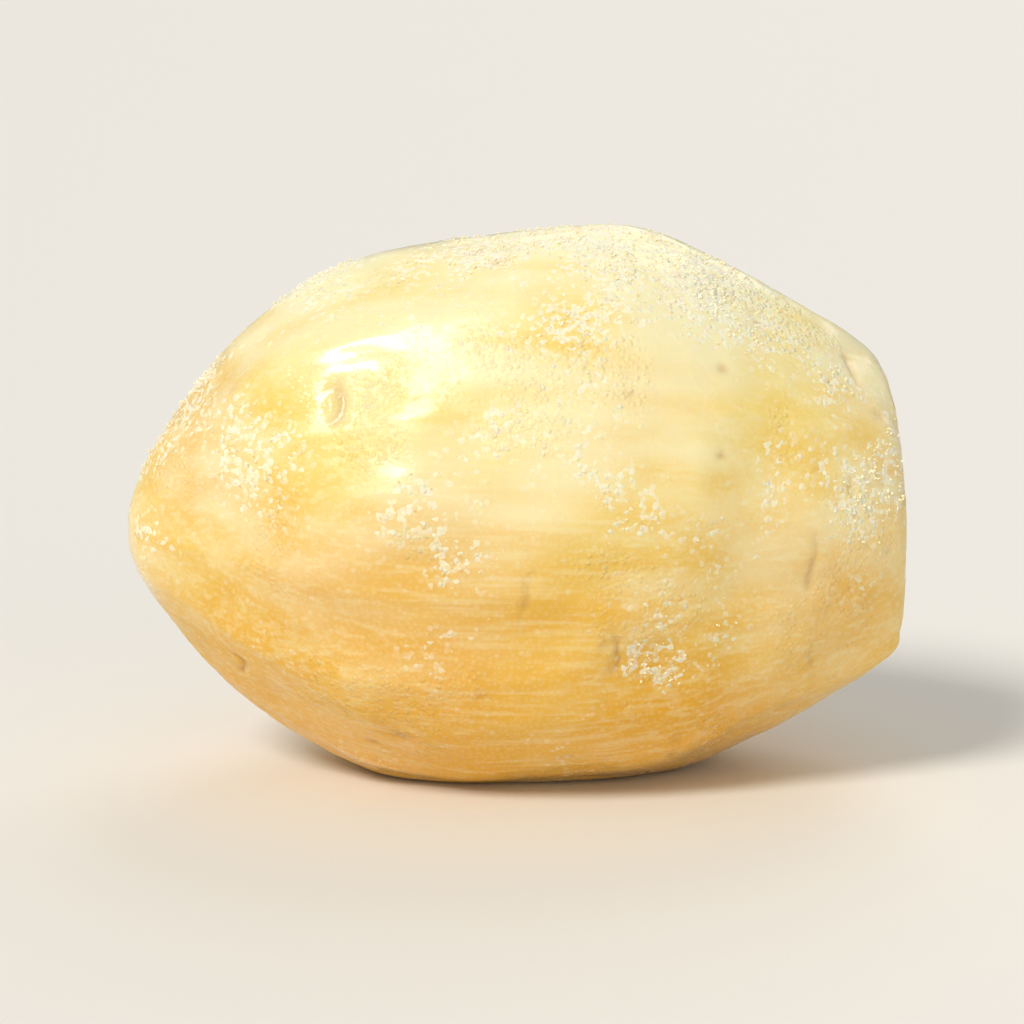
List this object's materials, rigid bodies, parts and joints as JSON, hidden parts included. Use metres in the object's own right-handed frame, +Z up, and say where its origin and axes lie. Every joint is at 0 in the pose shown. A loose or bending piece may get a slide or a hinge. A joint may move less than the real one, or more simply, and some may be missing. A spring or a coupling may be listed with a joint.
{
  "type": "arracacha root piece",
  "caption": "Peeled and frozen root piece: a tapering oval with a rounded tip, a knife-trimmed crown end, shallow peeling flats and a small flat spot that it lies on.",
  "frame": {"origin": "middle of the bounding box, at the height of the surface that the piece lies on", "axes": "+X along the root from its rounded tip to its trimmed crown end, its longest side; +Y away from a viewer who has the tip at the left; +Z up"},
  "size_m": [0.068, 0.043, 0.048],
  "materials": {
    "root_flesh": "waxy pale yellow cooked flesh under a thin frozen glaze with patches of frost"
  },
  "bodies": {
    "root": {"arracacha_root": "root_flesh"}
  },
  "joints": []
}
